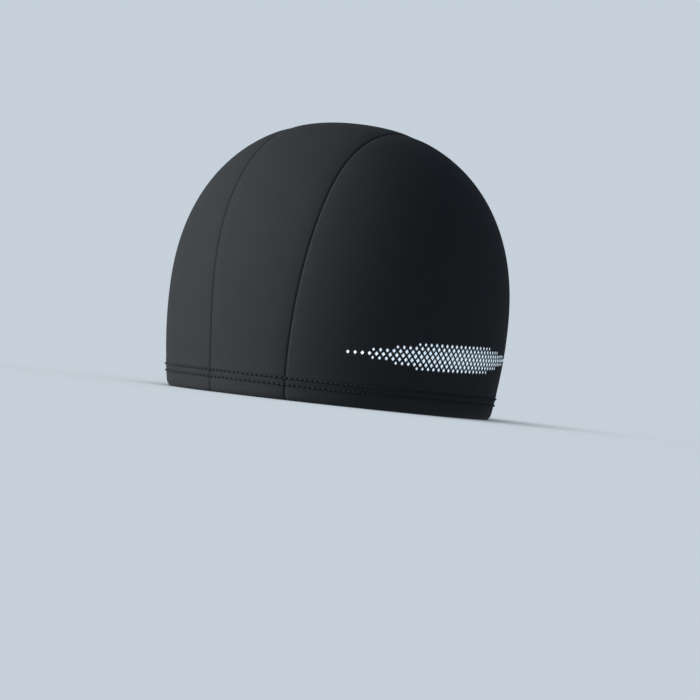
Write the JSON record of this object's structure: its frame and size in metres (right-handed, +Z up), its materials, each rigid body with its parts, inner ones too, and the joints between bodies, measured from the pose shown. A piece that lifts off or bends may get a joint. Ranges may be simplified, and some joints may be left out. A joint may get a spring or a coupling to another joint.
{
  "type": "swim cap",
  "caption": "Close-fitting cloth swim cap in its worn form, with a centre strip between two side panels, a stitched turned hem and an open hollow for the head.",
  "frame": {"origin": "middle of the rim's flat foot, on the surface that the cap stands on", "axes": "+Z up to the crown, -Y towards the forehead, +X towards the wearer's left"},
  "size_m": [0.158, 0.196, 0.136],
  "materials": {
    "cloth": "charcoal stretch knit, smooth and matt",
    "thread": "black sewing thread, matt",
    "print": "white heat-transfer film, matt"
  },
  "bodies": {
    "root": {"centre_panel": "cloth", "left_side_panel": "cloth", "right_side_panel": "cloth", "turned_hem": "cloth"}
  },
  "joints": []
}
